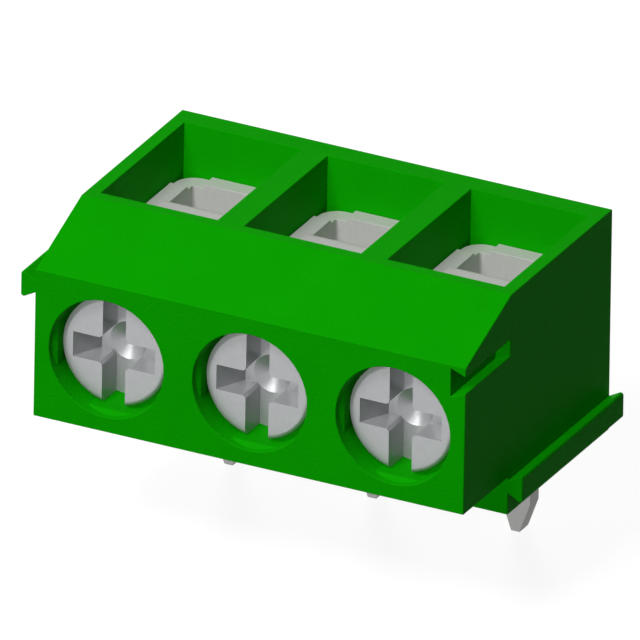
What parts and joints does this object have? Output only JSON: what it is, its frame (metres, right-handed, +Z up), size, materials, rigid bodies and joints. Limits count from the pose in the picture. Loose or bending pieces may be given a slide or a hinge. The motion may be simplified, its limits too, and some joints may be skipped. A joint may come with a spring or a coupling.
{
  "type": "pcb screw terminal block",
  "caption": "Screw terminal block for a circuit board: wires enter from above into folded clamp cages, front screws clamp them, pins below are soldered, dovetails join blocks.",
  "frame": {"origin": "middle solder pin's centre at the circuit board's upper surface", "axes": "+X along the row of poles, +Y to the back, away from the screws, +Z up, away from the board"},
  "size_m": [0.016, 0.0101, 0.0111],
  "materials": {
    "housing": "moulded green polyamide, satin",
    "clamp_cage": "tin plated, semi-bright",
    "screw": "zinc plated, clear passivated",
    "pressure_plate": "tin plated spring steel"
  },
  "bodies": {
    "housing": {"housing": "housing", "clamp_cage_1": "clamp_cage", "clamp_cage_2": "clamp_cage", "clamp_cage_3": "clamp_cage"},
    "plate_1": {"pressure_plate_1": "pressure_plate"},
    "plate_2": {"pressure_plate_2": "pressure_plate"},
    "plate_3": {"pressure_plate_3": "pressure_plate"},
    "screw_1": {"screw_1": "screw"},
    "screw_2": {"screw_2": "screw"},
    "screw_3": {"screw_3": "screw"}
  },
  "joints": [
    {"name": "plate_slide_1", "type": "slide", "parent": "housing", "child": "plate_1", "axis": [0, 1, 0], "range_m": [-0.00045, 0.00162]},
    {"name": "screw_turn_1", "type": "hinge", "parent": "plate_1", "child": "screw_1", "pos_m": [-0.005, -0.0024, 0.0038], "axis": [0, 1, 0], "range_deg": [-360.5, 1296.5]},
    {"name": "plate_slide_2", "type": "slide", "parent": "housing", "child": "plate_2", "axis": [0, 1, 0], "range_m": [-0.00045, 0.00162]},
    {"name": "screw_turn_2", "type": "hinge", "parent": "plate_2", "child": "screw_2", "pos_m": [0, -0.0024, 0.0038], "axis": [0, 1, 0], "range_deg": [-360.5, 1296.5]},
    {"name": "plate_slide_3", "type": "slide", "parent": "housing", "child": "plate_3", "axis": [0, 1, 0], "range_m": [-0.00045, 0.00162]},
    {"name": "screw_turn_3", "type": "hinge", "parent": "plate_3", "child": "screw_3", "pos_m": [0.005, -0.0024, 0.0038], "axis": [0, 1, 0], "range_deg": [-360.5, 1296.5]}
  ],
  "couplings": [
    {"joint": "screw_turn_1", "follows": "plate_slide_1", "rad_per_m": 13963},
    {"joint": "screw_turn_2", "follows": "plate_slide_2", "rad_per_m": 13963},
    {"joint": "screw_turn_3", "follows": "plate_slide_3", "rad_per_m": 13963}
  ]
}
